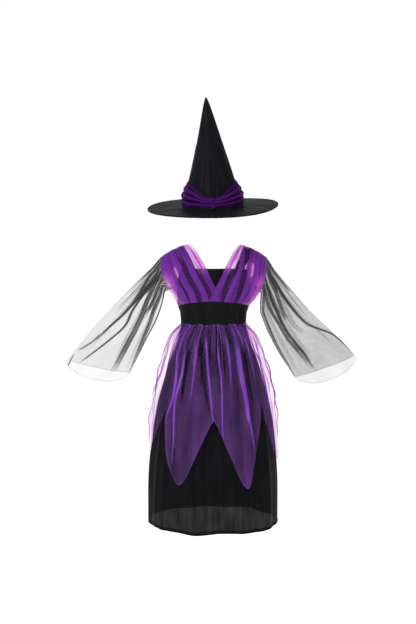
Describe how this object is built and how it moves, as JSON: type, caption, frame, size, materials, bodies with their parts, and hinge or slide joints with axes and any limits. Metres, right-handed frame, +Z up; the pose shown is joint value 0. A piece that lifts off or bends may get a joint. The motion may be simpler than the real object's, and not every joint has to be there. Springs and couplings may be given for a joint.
{
  "type": "witch costume",
  "caption": "Child's witch costume filled out as worn: black satin and purple tulle dress with net bell sleeves and petal overskirt, and a pointed hat with a scarf band.",
  "frame": {"origin": "midway between the tops of the shoulders, where the wearer's shoulders hold the dress", "axes": "+Z up along the dress, -Y the front of the costume, +X to the viewer's right from the front"},
  "size_m": [0.8058, 0.3522, 1.1617],
  "materials": {
    "black_satin": "satin",
    "purple_organza": "sheer",
    "purple_tulle": "sheer",
    "black_net": "net",
    "hat_satin": "satin"
  },
  "bodies": {
    "root": {"bodice_front": "black_satin", "bodice_back": "black_satin", "shoulder_strap_left": "black_satin", "shoulder_strap_right": "black_satin", "waistband_front": "black_satin", "waistband_back": "black_satin", "underskirt_front": "black_satin", "underskirt_back": "black_satin", "overskirt_front": "purple_organza", "overskirt_back": "purple_organza", "drape_front_left": "purple_tulle", "drape_front_right": "purple_tulle", "drape_back_left": "purple_tulle", "drape_back_right": "purple_tulle", "sleeve_left": "black_net", "sleeve_right": "black_net", "hat_crown": "hat_satin", "hat_brim": "hat_satin", "hat_brim_binding": "hat_satin", "hat_scarf_left": "purple_tulle", "hat_scarf_right": "purple_tulle", "hat_scarf_pinch": "purple_tulle"}
  },
  "joints": []
}
